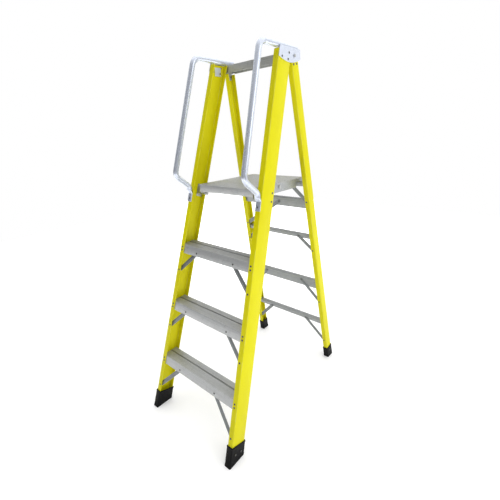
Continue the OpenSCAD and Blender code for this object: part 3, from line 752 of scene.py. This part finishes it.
NEAR_RIM, NEAR_END, BULGE = 0.98, 0.1 * MM, 1.2 * MM
SHANK_LEAST, SHANK_MOST = 0.3, 0.6  # as parts of the head's radius
# the head, from its sunk mandrel out over its dome to its seat: parts of its radius and of its height
DOME = [(math.sin(a), 0.88 * (1 - math.cos(a))) for a in np.linspace(0.5, 1.45, 7)]
HEAD = [(0, 0.55), (0.20, 0.55), (0.25, 0.06), *DOME, (1, 0.94), (0.99, 1)]
# the set tail: part of its radius, and how far in from its end in millimetres
SET_TAIL = (1, 0.85), (0.98, 0.4), (0.82, 0.08), (0.45, 0), (0.40, 0.5), (0, 0.5)


def rivet(corners, direction):
    """A domed rivet in place of a CAD one: a blind rivet's head with its sunk mandrel, shank and set tail."""
    axis = np.array(direction)
    middle = (corners.max(0) + corners.min(0)) / 2
    off = corners - middle
    t = off @ axis
    r = np.linalg.norm(off - np.outer(t, axis), axis=1)
    wide = r.max()
    rim = r > wide * NEAR_RIM
    if t[rim].mean() > 0:
        axis, t = -axis, -t
    head, seat, tail = t.min(), t[rim].max(), t.max()
    cap, reach = seat - head, tail - seat
    set_tail = r[t > tail - NEAR_END].max()
    shank = r[np.abs(t - (seat + tail) / 2) < reach / 2 + NEAR_END].min()
    shank = min(max(shank, SHANK_LEAST * wide), SHANK_MOST * wide)
    bulge = tail - BULGE
    profile = [(part * wide, head + depth * cap) for part, depth in HEAD]
    profile += [(shank, seat), (shank, bulge), (0.93 * set_tail, bulge + 0.01 * reach)]
    profile += [(part * set_tail, tail - inside * MM) for part, inside in SET_TAIL]
    z = Vector(axis)
    x = z.orthogonal().normalized()
    return revolved(profile, axes(x, z.cross(x), z, Vector(middle)))


def rivets(node, body):
    """All the rivets of a CAD node as one group of separate solids."""
    whole = bmesh.new()
    whole.verts.layers.float_vector.new("grain")
    whole.verts.layers.float.new("edge")
    for corners, directions in loose_solids(node):
        one = rivet(corners, directions[0])
        mesh = bpy.data.meshes.new("one")
        one.to_mesh(mesh)
        one.free()
        whole.from_mesh(mesh)
        bpy.data.meshes.remove(mesh)
    # the rivets take a darker steel than their zinc slot: painted shade
    finish_piece(node + "_domed", whole, body, "zinc_steel", node, finish="shaded_rivet_steel")


for node in sorted(frame["nodes"]):
    if node.endswith("_rivets"):
        rivets(node, frame["nodes"][node]["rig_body"])

# ---------------------------------------------------------------- CAD pieces that stay


def keep(node, slot, width):
    """A CAD piece that is shown as it is, with rounded edges and a finish."""
    piece = frame["nodes"][node]
    for place in piece.material_slots:
        place.link = "OBJECT"
        place.material = CAD_MATERIALS[slot]
    weld = piece.modifiers.new("joined", "WELD")
    weld.merge_threshold = SAME
    flat = piece.modifiers.new("flat", "DECIMATE")
    flat.decimate_type, flat.angle_limit = "DISSOLVE", FLAT_BELOW
    round_edges(piece, width)


for side in ("left", "right"):
    keep(f"top_plate_{side}", "bright_aluminium", 0.5 * MM)
    keep(f"platform_bracket_{side}", "pressed_aluminium", 0.5 * MM)
    keep(f"rear_hinge_{side}", "pressed_aluminium", 0.4 * MM)
    keep(f"platform_skirt_{side}", "pressed_aluminium", 0.4 * MM)
keep("top_bar", "mill_aluminium", 0.6 * MM)
keep("backing_plates", "bright_aluminium", 0.3 * MM)
for node in ("platform_hinge_bolts", "platform_tie_rod", "pivot_spacers", "pivot_bolts"):
    keep(node, "zinc_steel", 0.5 * MM)

# ---------------------------------------------------------------- floor, light and camera

WHITE, PAPER, PAPER_DARK = (1, 1, 1, 1), (0.93, 0.93, 0.93, 1), (0.91, 0.91, 0.91, 1)
FLOOR_GLOW, GLOW_START, GLOW_END = 0.14, 0.8, 3.0  # under the object, and where it grows to 1, in metres
SKY_LOW, SKY_HIGH, SKY_TOWARDS = 0.08, 1.85, Vector((-0.05, 0.5, 0.85))
LIT = Vector((0, 0, 0.9))


def area_light(name, at, size, power):
    """A round lamp that faces the middle of the object."""
    data = bpy.data.lights.new(name, "AREA")
    data.shape, data.size, data.energy = "DISK", size, power
    lamp = bpy.data.objects.new(name, data)
    bpy.context.scene.collection.objects.link(lamp)
    lamp.location = at
    lamp.rotation_euler = (LIT - Vector(at)).to_track_quat("-Z", "Y").to_euler()


def floor():
    """Pale paper that glows to white away from the object."""
    bm = bmesh.new()
    bmesh.ops.create_grid(bm, x_segments=8, y_segments=8, size=5)
    mesh = bpy.data.meshes.new("floor")
    bm.to_mesh(mesh)
    bm.free()
    ground = bpy.data.objects.new("floor", mesh)
    bpy.context.scene.collection.objects.link(ground)
    s = Shader("floor_paper", Roughness=0.9, Emission_Color=WHITE, Emission_Strength=FLOOR_GLOW)
    tone = s.noise(s.along("row", (1.5, 1.5, 1.5)), 3)
    s.feed("Base Color", s.blend(tone, PAPER, PAPER_DARK))
    away = s.add("VectorMath", {0: s.along("row", (1, 1, 1))}, operation="LENGTH").outputs["Value"]
    s.feed("Emission Strength", s.spread(away, GLOW_START, GLOW_END, FLOOR_GLOW, 1.0))
    mesh.materials.append(s.material)


def world():
    """Pale surroundings, brightest high up behind the object and dim in front, and white to the camera."""
    w = bpy.data.worlds.new("studio")
    bpy.context.scene.world = w
    w.use_nodes = True
    nodes, links = w.node_tree.nodes, w.node_tree.links

    def node(kind, inputs=()):
        made = nodes.new("ShaderNode" + kind)
        for socket, value in dict(inputs).items():
            made.inputs[socket].default_value = value
        return made

    where, towards = node("TexCoord"), node("VectorMath", {1: SKY_TOWARDS.normalized()})
    tone = node("MapRange", {1: 0.0, 2: 0.95, 3: SKY_LOW, 4: SKY_HIGH})
    towards.operation = "DOT_PRODUCT"
    links.new(where.outputs["Generated"], towards.inputs[0])
    links.new(towards.outputs["Value"], tone.inputs[0])
    around, backdrop = nodes["Background"], node("Background", {0: WHITE, 1: 1.0})
    around.inputs["Color"].default_value = WHITE
    links.new(tone.outputs[0], around.inputs["Strength"])
    seen, shown = node("LightPath"), node("MixShader")
    links.new(seen.outputs["Is Camera Ray"], shown.inputs[0])
    links.new(around.outputs[0], shown.inputs[1])
    links.new(backdrop.outputs[0], shown.inputs[2])
    links.new(shown.outputs[0], nodes["World Output"].inputs["Surface"])


def camera():
    """The photograph's view: where it stands, which way it looks and how far it is rolled."""
    place = Vector((1.0724, -1.1708, 1.429))
    yaw, down, roll = math.radians(41.43), math.radians(20.22), math.radians(-2.867)
    data = bpy.data.cameras.new("camera")
    data.sensor_width, data.lens = 36.0, 22.836
    shot = bpy.data.objects.new("camera", data)
    bpy.context.scene.collection.objects.link(shot)
    ahead = Vector((-math.sin(yaw) * math.cos(down), math.cos(yaw) * math.cos(down), -math.sin(down)))
    side = Vector((math.cos(yaw), math.sin(yaw), 0))
    up = side.cross(ahead)
    across = math.cos(roll) * side + math.sin(roll) * up
    shot.matrix_world = axes(across, (-ahead).cross(across), -ahead, place)
    bpy.context.scene.camera = shot


floor()
world()
camera()
area_light("key", (3.4, 0.6, 2.6), size=2.2, power=24)
area_light("fill", (1.6, -3.2, 2.4), size=2.0, power=3)
bpy.context.scene.view_settings.view_transform = "Standard"
